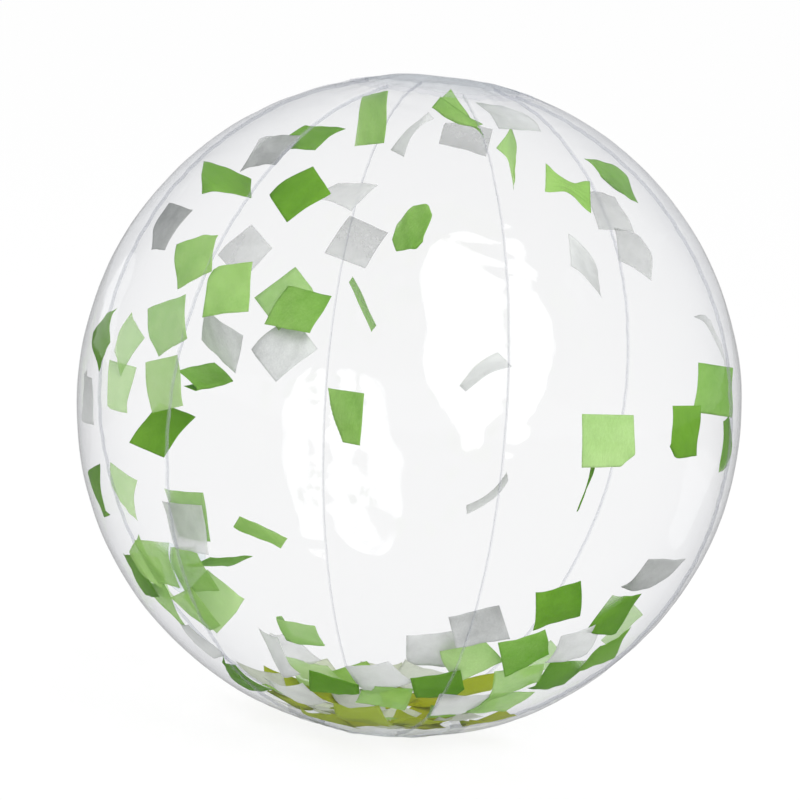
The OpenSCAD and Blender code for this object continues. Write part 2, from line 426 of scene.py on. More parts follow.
def creases(seam):
    """The small creases that cross one seam: place, depth, width, reaches and slant."""
    rng = np.random.default_rng(SEED + 10 + seam)
    half = BALL_R * math.radians(CREASED_LAT)
    place = -half
    rows = []
    while place < half:
        depth = rng.uniform(0.12, 0.55)
        width = rng.uniform(2.4, 5.0)
        reaches = rng.uniform(5, 22, 2)
        rows.append((place, depth, width, *reaches, rng.uniform(-0.35, 0.35)))
        place += rng.uniform(7, 17)
    return rows


CREASES = [creases(seam) for seam in range(len(PANELS))]
PUCKER_PHASES = np.random.default_rng(SEED + 2).uniform(0, 2 * math.pi, len(PUCKER_WAVES))
PUCKERS = list(zip(PUCKER_WAVES, PUCKER_PHASES))


def skin(lon, lat):
    """How far the film's outer face stands proud of the plain ball."""
    lon, lat = np.broadcast_arrays(np.asarray(lon, float), np.asarray(lat, float))
    place = BALL_R * towards(lon, lat)
    seam = np.round(lon / PANEL_ANGLE)
    aside = BALL_R * np.cos(np.radians(lat)) * np.radians(lon - seam * PANEL_ANGLE)
    along = BALL_R * np.radians(lat)
    middle = np.abs(lon / PANEL_ANGLE - seam) * 2
    girth = np.cos(np.radians(lat))
    out = PANEL_BULGE * girth * (1 - (1 - middle) ** 2)
    out = out - SEAM_GROOVE * girth * np.exp(-np.abs(aside) / SEAM_GROOVE_REACH)
    for k, rows in enumerate(CREASES):
        here = (seam % len(PANELS)) == k
        for at, depth, width, reach_a, reach_b, slant in rows:
            reach = np.where(aside > 0, reach_a, reach_b)
            across = (along - at - slant * aside) / width
            dent = depth * np.exp(-(across**2) - (aside / reach) ** 2)
            out = out - np.where(here, dent, 0)
    out = out + WAVINESS * waviness(place) + FINE_WAVINESS * fine_waviness(place)
    flat = BALL_R * girth
    angle = np.radians(lon)
    pucker = sum(np.sin(n * angle + phase) for n, phase in PUCKERS) / len(PUCKERS)
    near = np.exp(-(((flat - DISC_R) / PUCKER_REACH) ** 2))
    out = out - PUCKER_DEPTH * near * (0.5 + pucker)
    away = np.degrees(np.arccos(np.clip(towards(lon, lat) @ VALVE_AXIS, -1, 1)))
    calm = smooth(*VALVE_CALM, BALL_R * np.radians(away))
    return out * calm * smooth(FLAT_R + 1, HOLE_R, flat)


def on_skin(lon, lat, inwards):
    """Points so far inside the film's outer face."""
    radius = BALL_R + skin(lon, lat) - inwards
    return radius[..., None] * towards(lon, lat)


# ---- Panels ---------------------------------------------------------------------------

PANEL_ROWS = 241
PANEL_COLUMNS = 49
# A seam: half the gap between two panels, the bend's radius, and the flange inside, which
# is drawn shallower than the frame's so that the seam reads as thin.
SEAM_GAP = 0.03
SEAM_BEND = 0.45
FLANGE_DEPTH = 1.8
PORT_R = 10


def panel_columns(start, lat):
    """The longitudes and depths of a panel's columns at each latitude of lat."""
    degree = np.degrees(1 / (BALL_R * np.cos(np.radians(lat))))
    turns = np.radians(np.linspace(0, 90, 4))
    flange = [(SEAM_GAP, d) for d in np.linspace(FLANGE_DEPTH, 2 * SEAM_BEND, 3)]
    rounding = [
        (SEAM_GAP + SEAM_BEND * (1 - math.cos(t)), SEAM_BEND * (1 - math.sin(t)))
        for t in turns
    ]
    edge = flange + rounding
    inset = edge[-1][0] * degree
    spread = (1 - np.cos(np.linspace(0, math.pi, PANEL_COLUMNS))) / 2
    lons = [start + aside * degree for aside, depth in edge]
    lons += [start + inset + f * (PANEL_ANGLE - 2 * inset) for f in spread[1:-1]]
    lons += [start + PANEL_ANGLE - aside * degree for aside, depth in reversed(edge)]
    depths = [d for a, d in edge] + [0] * (PANEL_COLUMNS - 2)
    depths += [d for a, d in reversed(edge)]
    return np.stack(lons, axis=1), np.array(depths, float), len(edge)


def cut_port(points, faces, marks):
    """Cuts the valve's round hole, with the hole's edge moved onto its circle."""
    along = points @ VALVE_AXIS
    beside = points - along[:, None] * VALVE_AXIS
    far = np.where(along > 0, np.linalg.norm(beside, axis=1), BALL_R)
    kept = [i for i, f in enumerate(faces) if min(far[list(f)]) > PORT_R]
    dropped = {v for i in set(range(len(faces))) - set(kept) for v in faces[i]}
    used = {v for i in kept for v in faces[i]}
    for v in dropped & used:
        points[v] = points[v] + beside[v] * (PORT_R / far[v] - 1)
    order = {v: i for i, v in enumerate(sorted(used))}
    faces = [tuple(order[v] for v in faces[i]) for i in kept]
    return points[sorted(used)], faces, [marks[i] for i in kept]


def panel(number):
    """One film gore with the flanges that it turns inwards along its two seams."""
    start = (number - 1) * PANEL_ANGLE
    tip = math.degrees(math.acos(HOLE_R / BALL_R))
    lat = np.linspace(-tip, tip, PANEL_ROWS)
    lons, depths, edge = panel_columns(start, lat)
    rows, columns = lons.shape
    points = on_skin(lons, lat[:, None], depths[None, :]).reshape(-1, 3)
    faces = grid_faces(rows, columns)
    side = [c < edge - 1 or c >= columns - edge for c in range(columns - 1)]
    marks = [int(side[i % (columns - 1)]) for i in range(len(faces))]
    if start < VALVE_LON < start + PANEL_ANGLE:
        points, faces, marks = cut_port(points, faces, marks)
    points, faces, marks = thicken(points, faces, FILM, marks)
    piece = mesh_object(
        f"film_{number}", points, faces, marks, (FILM_MATERIAL, WELD_MATERIAL)
    )
    settle(piece, "ball", f"panel_{number}")


def settle(piece, body, *nodes):
    """The piece rides on a body and stands for its nodes, which it hides."""
    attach(piece, body)
    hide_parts(*nodes)
    return piece


# ---- Pole discs -----------------------------------------------------------------------

DISC_GAP = 0.12
DISC_SPOKES = 180
DISC_CENTRE_R = 0.6
DISC_WRINKLE = 0.45
DISC_WRINKLED_R = 30
DISC_WELDS = (40.2, 43.8)
DISC_WELD_WIDTH = 0.7
DISC_WELD_DEPTH = 0.12

disc_wrinkles = ripple(SEED + 3, 14, 40)


def pole_disc(name, node, sign):
    """A disc of film: flat in its middle, and welded to the panels round its edge.

    sign is 1 at the top pole and -1 at the bottom one, which is smooth from lying flat.
    """
    flat = np.linspace(DISC_CENTRE_R, FLAT_R, 14)
    slope = np.linspace(FLAT_R, DISC_R, 22)[1:]
    radius = np.concatenate([flat, slope])
    lon = np.linspace(0, 360, DISC_SPOKES, endpoint=False)
    lat = np.degrees(np.arccos(radius / DISC_OUT_R))
    lons, lats = np.meshgrid(lon, sign * lat)
    out = on_skin(lons, lats, -(DISC_GAP + FILM))
    level = radius <= FLAT_R
    x, y = radius[:, None] * np.sin(np.radians(lon)), -radius[:, None] * np.cos(np.radians(lon))
    out[level] = np.stack([x, y, np.full_like(x, sign * FLAT_Z)], axis=-1)[level]
    weld = sum(np.exp(-(((radius - place) / DISC_WELD_WIDTH) ** 2)) for place in DISC_WELDS)
    sink = DISC_WELD_DEPTH * weld[:, None] + np.zeros_like(x)
    if sign > 0:
        crumple = 0.5 + 0.5 * disc_wrinkles(np.stack([x, y, 0 * x], axis=-1))
        fading = smooth(DISC_R, DISC_WRINKLED_R, radius)[:, None]
        sink = sink + DISC_WRINKLE * crumple * fading
    out[..., 2] -= sign * sink
    centre = np.array([[0, 0, out[0, :, 2].mean()]])
    points = np.vstack([out.reshape(-1, 3), centre])
    faces = grid_faces(len(radius), DISC_SPOKES, wrap=True)
    faces += [(len(points) - 1, (c + 1) % DISC_SPOKES, c) for c in range(DISC_SPOKES)]
    if point_normals(points, faces)[-1, 2] * sign < 0:
        faces = [tuple(reversed(f)) for f in faces]
    first_ring = [min(min(f) // DISC_SPOKES, len(radius) - 1) for f in faces]
    welded = [int(radius[ring] > HOLE_R) for ring in first_ring]
    points, faces, marks = thicken(points, faces, FILM, welded)
    piece = mesh_object(name, points, faces, marks, (DISC_MATERIAL, WELD_MATERIAL))
    settle(piece, "ball", node)


# ---- Confetti -------------------------------------------------------------------------

TISSUE_THICKNESS = 0.1
CLEAR_OF_WALL = 1.0


def islands(node):
    """Each square of a confetti node as its centre, side and three unit directions."""
    mesh = bmesh.new()
    mesh.from_mesh(NODES[node].data)
    bmesh.ops.remove_doubles(mesh, verts=mesh.verts, dist=1e-6)
    left = set(mesh.verts)
    found = []
    for seed in list(mesh.verts):
        if seed not in left:
            continue
        left.discard(seed)
        group, stack = [], [seed]
        while stack:
            vert = stack.pop()
            group.append(np.array(vert.co) / MM)
            for edge in vert.link_edges:
                other = edge.other_vert(vert)
                if other in left:
                    left.discard(other)
                    stack.append(other)
        found.append(square_frame(np.array(group)))
    mesh.free()
    found.sort(key=lambda square: tuple(np.round(square[0], 3)))
    return found


def square_frame(group):
    """The centre, side and directions of a flat box from its eight corners.

    The directions are the edge that runs most to the east, the one to its left as seen
    from outside the ball, and the square's own outward normal.
    """
    centre = group.mean(0)
    values, axes = np.linalg.eigh(np.cov((group - centre).T))
    normal = axes[:, 0]
    normal = normal * (1 if normal @ centre > 0 else -1)
    flat = group - centre - np.outer((group - centre) @ normal, normal)
    side = np.linalg.norm(flat[0]) * math.sqrt(2)
    diagonal = flat[0] / np.linalg.norm(flat[0])
    edge = (diagonal + np.cross(normal, diagonal)) / math.sqrt(2)
    east = np.cross((0, 0, 1), normal)
    ways = [edge, np.cross(normal, edge), -edge, np.cross(edge, normal)]
    first = max(ways, key=lambda way: way @ east)
    return centre, side, np.stack([first, np.cross(normal, first), normal])


def bend(points, heading, start, radius, angle):
    """Bends a sheet as paper bends: past a line it turns through an angle in degrees.

    heading is the line's direction of travel in the sheet's plane, in degrees, and
    start is how far from the middle the bend begins. A positive angle bends inwards.
    """
    way = np.array([math.cos(math.radians(heading)), math.sin(math.radians(heading)), 0])
    total = math.radians(abs(angle))
    sense = -1 if angle > 0 else 1
    past = points @ way - start
    height = points[:, 2] * sense
    arc = np.clip(past, 0, radius * total)
    rest = np.maximum(past - radius * total, 0)
    turn = arc / radius
    along = radius * np.sin(turn) + rest * np.cos(turn) - height * np.sin(turn)
    up = radius * (1 - np.cos(turn)) + rest * np.sin(turn) + height * np.cos(turn)
    bent = points + np.outer(np.where(past > 0, along - past, 0), way)
    bent[:, 2] = np.where(past > 0, up * sense, points[:, 2])
    return bent


def twist(points, heading, degrees, middle=0):
    """Twists a sheet about a line, by so many degrees from end to end of it.

    middle is the turn halfway along.
    """
    a = math.radians(heading)
    way = np.array([math.cos(a), math.sin(a), 0])
    side = np.array([-math.sin(a), math.cos(a), 0])
    along, aside = points @ way, points @ side
    turn = np.radians(middle + degrees * along / np.ptp(along))
    new_aside = aside * np.cos(turn) - points[:, 2] * np.sin(turn)
    moved = np.outer(along, way) + np.outer(new_aside, side)
    moved[:, 2] = aside * np.sin(turn) + points[:, 2] * np.cos(turn)
    return moved


def spin(points, degrees):
    """Turns a sheet in its own plane, leftwards as seen from outside the ball."""
    turn = math.radians(degrees)
    c, s = math.cos(turn), math.sin(turn)
    return points @ np.array([[c, s, 0], [-s, c, 0], [0, 0, 1]])


# The pleats of a gathered square: their height and how closely they follow each other.
PLEAT_HEIGHT = 1.1
PLEAT_RATE = 1.5


def pinch(points, heading, share):
    """Gathers a sheet across its middle to a share of its width, as in a bow tie."""
    a = math.radians(heading)
    way = np.array([math.cos(a), math.sin(a), 0])
    side = np.array([-math.sin(a), math.cos(a), 0])
    along, aside = points @ way, points @ side
    width = share + (1 - share) * smooth(0, 1, np.abs(along) / np.abs(along).max())
    moved = np.outer(along, way) + np.outer(aside * width, side)
    moved[:, 2] = points[:, 2] + PLEAT_HEIGHT * (1 - width) * np.sin(PLEAT_RATE * aside)
    return moved


# A fold is a tight bend: its radius and its angle.
FOLD = (1.1, 162)
# Squares with a shape of their own: each step is a function with its values.
SHAPES = {
    "confetti_04": [(bend, -135, 9, 6, 50)],
    "confetti_12": [
        (bend, 135, 11, *FOLD), (bend, 45, 12, *FOLD),
        (bend, -135, 12, *FOLD), (bend, -45, 13, *FOLD),
    ],
    "confetti_17": [(bend, -90, 1.5, *FOLD)],
    "confetti_19": [(bend, -150, 4.5, *FOLD)],
    "confetti_23": [(bend, -90, 2.5, *FOLD), (spin, -26)],
    "confetti_26": [(bend, 180, 7, *FOLD), (bend, -90, 8, *FOLD)],
    "confetti_33": [(bend, -45, 13, *FOLD)],
    "confetti_35": [(bend, -135, 12, *FOLD)],
    "confetti_37": [(pinch, 0, 0.36), (spin, -12)],
    "confetti_38": [(bend, -135, 8, *FOLD)],
    "confetti_40": [(bend, 90, 3, *FOLD), (twist, -12, -70, 165)],
}
# Squares that stay nearly flat, but for the steps above.
CALM_NUMBERS = (1, 11, 12, 17, 19, 23, 24, 26, 33, 34, 35, 37, 40)
CALM = {f"confetti_{number:02d}" for number in CALM_NUMBERS}
# Squares lighter or darker than usual. The shade runs from -0.2 to 0.6.
SHADES = {
    "confetti_01": 0.4, "confetti_03": 0.05, "confetti_05": 0.35, "confetti_07": 0.45,
    "confetti_08": 0.55, "confetti_09": 0.25, "confetti_10": 0.4, "confetti_12": 0.25,
    "confetti_14": 0.45, "confetti_19": 0.3, "confetti_20": 0.3, "confetti_23": 0.45,
    "confetti_25": 0.6, "confetti_27": 0.3, "confetti_28": 0.2, "confetti_29": -0.05,
    "confetti_30": 0.15, "confetti_32": 0.15, "confetti_33": 0.4, "confetti_35": 0.4,
    "confetti_36": 0.2, "confetti_37": 0.45, "confetti_38": 0.3,
    "low_confetti_green": 0.4, "low_confetti_white": 0.45,
}
# Squares so thin that this share of the light goes straight through.
THINNED = {
    "confetti_01": 0.2, "confetti_02": 0.2, "confetti_04": 0.2, "confetti_07": 0.25,
    "confetti_08": 0.2, "confetti_11": 0.4, "confetti_15": 0.35, "confetti_18": 0.3,
    "confetti_21": 0.35, "confetti_22": 0.4, "confetti_23": 0.35, "confetti_24": 0.2,
    "confetti_25": 0.25, "confetti_26": 0.25, "confetti_38": 0.3, "confetti_39": 0.3,
    "far_confetti_green": 0.5, "far_confetti_white": 0.6, "low_confetti_green": 0.35,
    "low_confetti_dark": 0.1, "low_confetti_white": 0.25,
}
# A calm square curls by this share of what others do.
CALM_CURL = 0.2
# Two sets of shallow waves crumple every square.
CRUMPLE = 0.30
FINE_CRUMPLE = 0.14
CORNERS = ((-1, -1), (1, -1), (1, 1), (-1, 1))


def square_sheet(side, cells, rng, calm, steps):
    """A crumpled tissue square lying round the middle, as a grid of points."""
    line = np.linspace(-1, 1, cells + 1)
    u, v = np.meshgrid(line, line)
    u, v = u.ravel(), v.ravel()
    reach = side / 2 * (1 + rng.uniform(-0.07, 0.05, (4, 2)))
    points = np.zeros((len(u), 3))
    for (a, b), (x, y) in zip(CORNERS, reach):
        share = (1 + a * u) * (1 + b * v) / 4
        points[:, 0] += share * a * x
        points[:, 1] += share * b * y
    wave = rng.uniform(0, 2 * math.pi, 4)
    x, y = points[:, 0].copy(), points[:, 1].copy()
    points[:, 2] = CRUMPLE * np.sin(x / 3.7 + wave[0]) * np.sin(y / 4.3 + wave[1])
    points[:, 2] += FINE_CRUMPLE * np.sin(x / 1.7 + wave[2] + y / 2.9)
    curl = CALM_CURL if calm else 1.0
    heading = rng.uniform(0, 360)
    first, second, third = rng.uniform((6, 0, 0), (30, 18, 55)) * curl
    points = bend(points, heading, rng.uniform(-2, 4), rng.uniform(16, 40), first)
    points = bend(points, heading + 180, rng.uniform(0, 6), rng.uniform(14, 40), second)
    corner = 45 + 90 * rng.integers(0, 4) + rng.uniform(-20, 20)
    points = bend(points, corner, rng.uniform(8, 13), rng.uniform(4, 12), third)
    for step, *values in steps:
        points = step(points, *values)
    points -= (points.min(0) + points.max(0)) / 2
    return points, np.stack([u, v], axis=1)


# This share of the squares fades towards one side.
FADED_SHARE = 0.45
# Squares low in the ball carry a painted shade, more so from one height to the other, and near the film.
BOTTOM_SHADE_FROM = -134
BOTTOM_SHADE_TO = -146
BOTTOM_SHADE_INNER_R = 155
BOTTOM_SHADE_OUTER_R = 158.5


def looks(node, rng, flat, centre):
    """The shade, painted bottom shade and fade of one square's points."""
    way = rng.normal(size=2)
    across = flat @ (way / np.linalg.norm(way))
    shade = SHADES.get(node, rng.uniform(0.0, 0.4)) + rng.uniform(-0.08, 0.08) + 0.12 * across
    thin = THINNED.get(node, 0)
    depth = rng.uniform(0.35, 0.7) * (rng.uniform() < FADED_SHARE)
    fade = np.maximum(thin, depth * smooth(0.35, 1.3, across))
    # Painted shade, darker and olive, for low squares near the film; it also keeps them from fading.
    bottom_shading = rng.uniform(0.75, 1.0) * smooth(-BOTTOM_SHADE_FROM, -BOTTOM_SHADE_TO, -centre[2])
    bottom_shading *= smooth(BOTTOM_SHADE_INNER_R, BOTTOM_SHADE_OUTER_R, np.linalg.norm(centre))
    return shade, np.full(len(flat), bottom_shading), fade * (1 - 0.8 * bottom_shading)


# Each square's grid, finer where it has a node of its own.
SINGLE_CELLS = 20
GROUP_CELLS = 12


def tissue_piece(node):
    """The tissue squares that stand for one confetti node."""
    cells = SINGLE_CELLS if node.startswith("confetti_") else GROUP_CELLS
    rng = np.random.default_rng(SEED + sum(map(ord, node)) * 7)
    points, faces = np.zeros((0, 3)), []
    values = {"shade": [], "bottom_shade": [], "fade": []}
    for centre, side, axes in islands(node):
        sheet, flat = square_sheet(side, cells, rng, node in CALM, SHAPES.get(node, []))
        sheet = centre + sheet @ axes
        grid = grid_faces(cells + 1, cells + 1)
        over = np.linalg.norm(sheet, axis=1).max() - (INNER_R - CLEAR_OF_WALL)
        sheet = sheet - max(over, 0) * centre / np.linalg.norm(centre)
        sheet, grid, marks = thicken(sheet, grid, TISSUE_THICKNESS)
        faces += [tuple(i + len(points) for i in f) for f in grid]
        points = np.vstack([points, sheet])
        for kept, value in zip(values.values(), looks(node, rng, flat, centre)):
            kept += [*value, *value]
    name = node.replace("confetti", "tissue")
    piece = mesh_object(name, points, faces, materials=[TISSUE[SLOT_OF[node]]])
    for key, value in values.items():
        attribute = piece.data.attributes.new(key, "FLOAT", "POINT")
        attribute.data.foreach_set("value", np.array(value, np.float32))
    settle(piece, "ball", node)


# ---- Valve ----------------------------------------------------------------------------

# The valve's own axes: its X runs along the stopper's fold, its Y towards the fold, and
# its Z out of the ball. Its origin is on the ball's surface.
VALVE_X = -np.array(JOINTS["stopper_swing"]["axis"])
VALVE_FRAME = np.stack([VALVE_X, np.cross(VALVE_AXIS, VALVE_X), VALVE_AXIS])
VALVE_ORIGIN = BALL_R * VALVE_AXIS
STEM_R = 5.0
BORE_R = 4.0
MOUTH_Z = 1.6
STEM_END_Z = -16.0
GRIP_HEIGHTS = (-8.6, -10.6, -12.6)
GRIP_T = 0.22
LIP_R = 7.0
STRAP_W = 5.0
STRAP_T = 0.7
STRAP_GAP = 0.1
FOLD_Y = 13.0
SKIRT_Z = -6.0
SKIRT_TOP_R = 9.1
SKIRT_WALL = 0.38
SKIRT_FOOT_R = STEM_R + 0.12
RING_R = 16.0
RING_HOLE_R = 9.5
RING_T = 0.8
RING_GAP = 0.05
RING_RIBS = (12.6, 14.4)
RING_RIB_WIDTH = 0.28
RING_RIB_HEIGHT = 0.16
HEAD_R = 6.6
HEAD_T = 1.4
PLUG_R = 3.92
PLUG_TIP_R = 2.6
PLUG_LENGTH = 6.0
FLAP_R = 4.7
FLAP_T = 0.4
FLAP_KNUCKLE_Y = -5.7
EAR_X = 2.55
TONGUE_RIBS = (-8.6, -7.9, -7.2)
LATHE_STEPS = 96
SLAB_EDGE_STEPS = 4
ROUND_END_STEPS = 12
# Corners sharper than this, in degrees, stay sharp.
SHARP_CORNER = 38


def rounded(outline, radius, steps=5):
    """A closed outline with each corner turned into an arc. radius may be one per corner."""
    outline = np.array(outline, float)
    radii = np.broadcast_to(radius, len(outline))
    points = []
    for k, corner in enumerate(outline):
        ends = []
        for other in (outline[k - 1], outline[(k + 1) % len(outline)]):
            way = other - corner
            length = np.linalg.norm(way)
            ends.append(corner + way / length * min(radii[k], 0.45 * length))
        if radii[k] < 1e-6:
            points.append(corner)
            continue
        for t in np.linspace(0, 1, steps):
            points.append((1 - t) ** 2 * ends[0] + 2 * t * (1 - t) * corner + t**2 * ends[1])
    return np.array(points)


def lathe(outline):
    """A closed outline of (radius, height) turned about the valve's axis."""
    steps = LATHE_STEPS
    turn = np.linspace(0, 2 * math.pi, steps, endpoint=False)
    points = np.array([(r * math.cos(a), r * math.sin(a), z) for r, z in outline for a in turn])
    faces = grid_faces(len(outline), steps, wrap=True)
    last = (len(outline) - 1) * steps
    faces += [(last + c, last + (c + 1) % steps, (c + 1) % steps, c) for c in range(steps)]
    return points, faces


def slab(outline, low, high, edge=0.15):
    """A flat plate of an outline in the valve's XY plane, with rounded edges."""
    outline = np.array(outline, float)
    centre = outline.mean(0)
    count = len(outline)
    turns = np.linspace(0, math.pi / 2, SLAB_EDGE_STEPS)
    rings = [(edge * (1 - math.sin(t)), low + edge * (1 - math.cos(t))) for t in turns]
    rings += [(edge * (1 - math.cos(t)), high - edge * (1 - math.sin(t))) for t in turns]
    span = np.abs(outline - centre).max(0)
    points = []
    for inset, z in rings:
        scaled = centre + (outline - centre) * (1 - inset / span)
        points += [(x, y, z) for x, y in scaled]
    faces = grid_faces(len(rings), count, wrap=True)
    faces.append(tuple(reversed(range(count))))
    faces.append(tuple(range((len(rings) - 1) * count, len(rings) * count)))
    return np.array(points), faces


def oblong(x, y, width, length):
    """The outline of a rectangle round a middle, with its length along Y."""
    return [(x + a * width / 2, y + b * length / 2) for a, b in CORNERS]


def round_bar(width, start, end, round_start=False, round_end=True):
    """The outline of a strap along Y, with round ends where asked."""
    half = width / 2
    points = []
    for y, sign, is_round in ((end, 1, round_end), (start, -1, round_start)):
        if is_round:
            turn = np.linspace(0, math.pi, ROUND_END_STEPS)
            points += [
                (sign * half * math.cos(a), y - sign * half * (1 - math.sin(a))) for a in turn
            ]
        else:
            points += [(sign * half, y), (-sign * half, y)]
    return points


def valve_piece(name, *solids):
    """One smooth object of the valve, from closed solids that are joined where they meet."""
    made = []
    for number, (points, faces) in enumerate(solids):
        placed = VALVE_ORIGIN + points @ VALVE_FRAME
        made.append(mesh_object(f"{name}_{number}" if number else name, placed, faces, None, [VINYL]))
    piece = made[0]
    for part in made:
        shape = bmesh.new()
        shape.from_mesh(part.data)
        bmesh.ops.recalc_face_normals(shape, faces=shape.faces)
        shape.to_mesh(part.data)
        shape.free()
    for part in made[1:]:
        union = piece.modifiers.new("union", "BOOLEAN")
        union.operation = "UNION"
        union.solver = "EXACT"
        union.object = part
    if len(made) > 1:
        bpy.context.view_layer.update()
        joined = bpy.data.meshes.new_from_object(
            piece.evaluated_get(bpy.context.evaluated_depsgraph_get())
        )
        piece.modifiers.clear()
        piece.data = joined
        for part in made[1:]:
            bpy.data.objects.remove(part)
    piece.data.shade_smooth()
    piece.data.set_sharp_from_angle(angle=math.radians(SHARP_CORNER))
    return piece


def on_ball(radius, lift):
    """The height of a circle round the valve's axis that stands off the ball by a lift."""
    return math.sqrt((BALL_R + lift) ** 2 - radius**2) - BALL_R


def valve_ring():
    """The flange welded round the port, thinning to its edge, with two weld ribs."""
    outer = []
    for r in np.linspace(RING_HOLE_R + 0.1, RING_R - 0.25, 60):
        rib = sum(math.exp(-(((r - place) / RING_RIB_WIDTH) ** 2)) for place in RING_RIBS)
        thick = RING_T * (1 - 0.55 * float(smooth(10.5, RING_R, r)))
        outer.append((r, on_ball(r, RING_GAP + thick + RING_RIB_HEIGHT * rib)))
    rim = [(RING_R - 0.05, on_ball(RING_R, RING_GAP + 0.27))]
    rim += [(RING_R, on_ball(RING_R, RING_GAP + 0.12))]
    inner = [(r, on_ball(r, RING_GAP)) for r in np.linspace(RING_R - 0.1, RING_HOLE_R, 12)]
    lip = [(9.25, on_ball(9.3, 0.25)), (9.22, on_ball(9.3, 0.5)), (9.35, on_ball(9.3, 0.78))]
    piece = valve_piece("valve_ring", lathe(outer + rim + inner + lip))
    settle(piece, "ball", "valve_flange")


def valve_cone():
    """The thin cone that carries the stem. On the ball it turns inside out as the valve is pulled; here
    it keeps one shape.
    """
    wall, foot = SKIRT_WALL, SKIRT_FOOT_R
    drop = np.linspace(0, 1, 22)
    reach = foot + wall + 0.2 + (SKIRT_TOP_R - foot - wall - 0.2) * (1 - drop) ** 0.8
    height = SKIRT_Z * drop - 0.25
    outside = [(SKIRT_TOP_R, 0.15)] + list(zip(reach, height - 0.1))
    collar = [(foot + wall, SKIRT_Z - 0.5), (foot, SKIRT_Z - 0.5), (foot, SKIRT_Z + 1.6)]
    inside = [(max(r - wall, foot), z + 0.32) for r, z in zip(reach, height)][::-1]
    inside = [point for point in inside if point[0] > foot + 0.05]
    piece = valve_piece("valve_cone", lathe(outside + collar + inside + [(SKIRT_TOP_R - wall, 0.15)]))
    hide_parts("valve_skirt")
    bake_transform(piece)


def valve_tube():
    """The stem that is blown into, with its lip, grip rings, strap and the flap's ears."""
    outline = [
        (BORE_R, MOUTH_Z), (LIP_R, MOUTH_Z), (LIP_R, MOUTH_Z - STRAP_T),
        (STEM_R + 0.3, MOUTH_Z - STRAP_T - 0.05), (STEM_R, MOUTH_Z - STRAP_T - 0.5),
    ]
    for z in GRIP_HEIGHTS:
        outline += [(STEM_R, z + 0.4), (STEM_R + GRIP_T, z), (STEM_R, z - 0.4)]
    outline += [(STEM_R, STEM_END_Z), (BORE_R, STEM_END_Z)]
    radii = [0.3, 0.3, 0.28, 0.15, 0.3] + [0.15] * 3 * len(GRIP_HEIGHTS) + [0.2, 0.2]
    tube = lathe(rounded(outline, radii))
    leaf_end = FOLD_Y - STRAP_T - STRAP_GAP
    leaf = slab(round_bar(STRAP_W, LIP_R - 1.2, leaf_end, round_end=False), MOUTH_Z - STRAP_T, MOUTH_Z)
    ears = [
        slab(
            oblong(x, -5.4, 0.7, 2.0), STEM_END_Z - 0.75, STEM_END_Z + 0.9, edge=0.12
        )
        for x in (-EAR_X, EAR_X)
    ]
    settle(valve_piece("valve_tube", tube, leaf, *ears), "valve", "valve_stem")


def valve_flap():
    """The one-way flap: a thin disc with a bead round its edge, and its knuckle."""
    top = STEM_END_Z - 0.1
    bead = 0.12
    disc = lathe(
        rounded(
            [
                (0.001, top - 0.02), (FLAP_R - 0.7, top - 0.02), (FLAP_R, top),
                (FLAP_R, top - FLAP_T), (FLAP_R - 0.6, top - FLAP_T - bead),
                (FLAP_R - 1.2, top - FLAP_T), (0.001, top - FLAP_T),
            ],
            [0, 0.2, 0.12, 0.12, 0.2, 0.2, 0],
        )
    )
    tab = slab(
        round_bar(3.6, FLAP_KNUCKLE_Y, -3.2, round_start=True, round_end=False),
        top - FLAP_T, top - 0.02, edge=0.1,
    )
    settle(valve_piece("valve_flap", disc, tab), "flap", "check_flap")


def stopper_cap():
    """The stopper: a domed head, a tapered plug with a sealing bead, tongue and strap."""
    low = MOUTH_Z + STRAP_GAP
    head = lathe(
        rounded(
            [
                (0.001, low + HEAD_T), (HEAD_R * 0.55, low + HEAD_T), (HEAD_R - 0.3, low + HEAD_T * 0.8),
                (HEAD_R, low + 0.3), (HEAD_R - 0.1, low), (PLUG_R - 0.1, low),
                (PLUG_R - 0.1, MOUTH_Z - 0.2), (PLUG_R, MOUTH_Z - 0.6), (PLUG_R - 0.12, MOUTH_Z - 1.2),
                (PLUG_TIP_R, low - PLUG_LENGTH + 1), (PLUG_TIP_R - 1, low - PLUG_LENGTH),
                (0.001, low - PLUG_LENGTH),
            ],
            [0, 1.2, 0.5, 0.25, 0.1, 0.15, 0.15, 0.3, 0.3, 0.5, 0.5, 0],
        )
    )
    strap = slab(round_bar(STRAP_W, HEAD_R - 1.5, FOLD_Y - 0.75, round_end=False), low, low + STRAP_T)
    tongue = slab(
        round_bar(4, -9.5, -HEAD_R + 1.2, round_start=True, round_end=False), low, low + STRAP_T
    )
    ribs = [
        slab(oblong(0, y, 2.6, 0.32), low + STRAP_T - 0.2, low + STRAP_T + 0.18, edge=0.1)
        for y in TONGUE_RIBS
    ]
    settle(valve_piece("stopper_cap", head, strap, tongue, *ribs), "stopper", "stopper")


